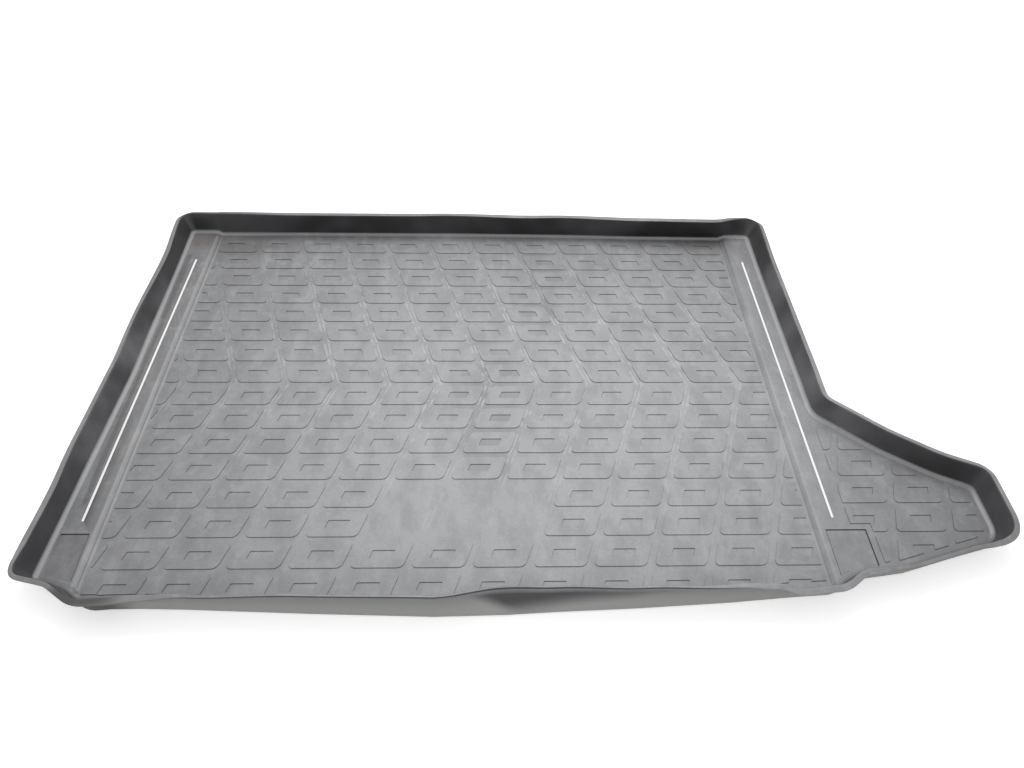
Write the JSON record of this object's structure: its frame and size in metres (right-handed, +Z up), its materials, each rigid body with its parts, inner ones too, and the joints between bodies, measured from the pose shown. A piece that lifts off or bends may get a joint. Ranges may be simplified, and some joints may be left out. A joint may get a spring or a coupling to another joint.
{
  "type": "car boot floor mat",
  "caption": "Moulded rubber boot liner with a raised wall and lip all round, a side pocket at the front right and a floor of embossed chevron cells",
  "frame": {"origin": "middle of the box's underside, on the surface that the mat lies on", "axes": "+X to the mat's right as seen from its front, where the side pocket is; +Y from the front edge to the back wall; +Z up"},
  "size_m": [1.2702, 0.7914, 0.0433],
  "materials": {
    "dark_rubber": "matte, finely grained floor, smoother walls",
    "white_film": "satin"
  },
  "bodies": {
    "root": {"cargo_liner": "dark_rubber", "reflective_strip_left": "white_film", "reflective_strip_right": "white_film"}
  },
  "joints": []
}
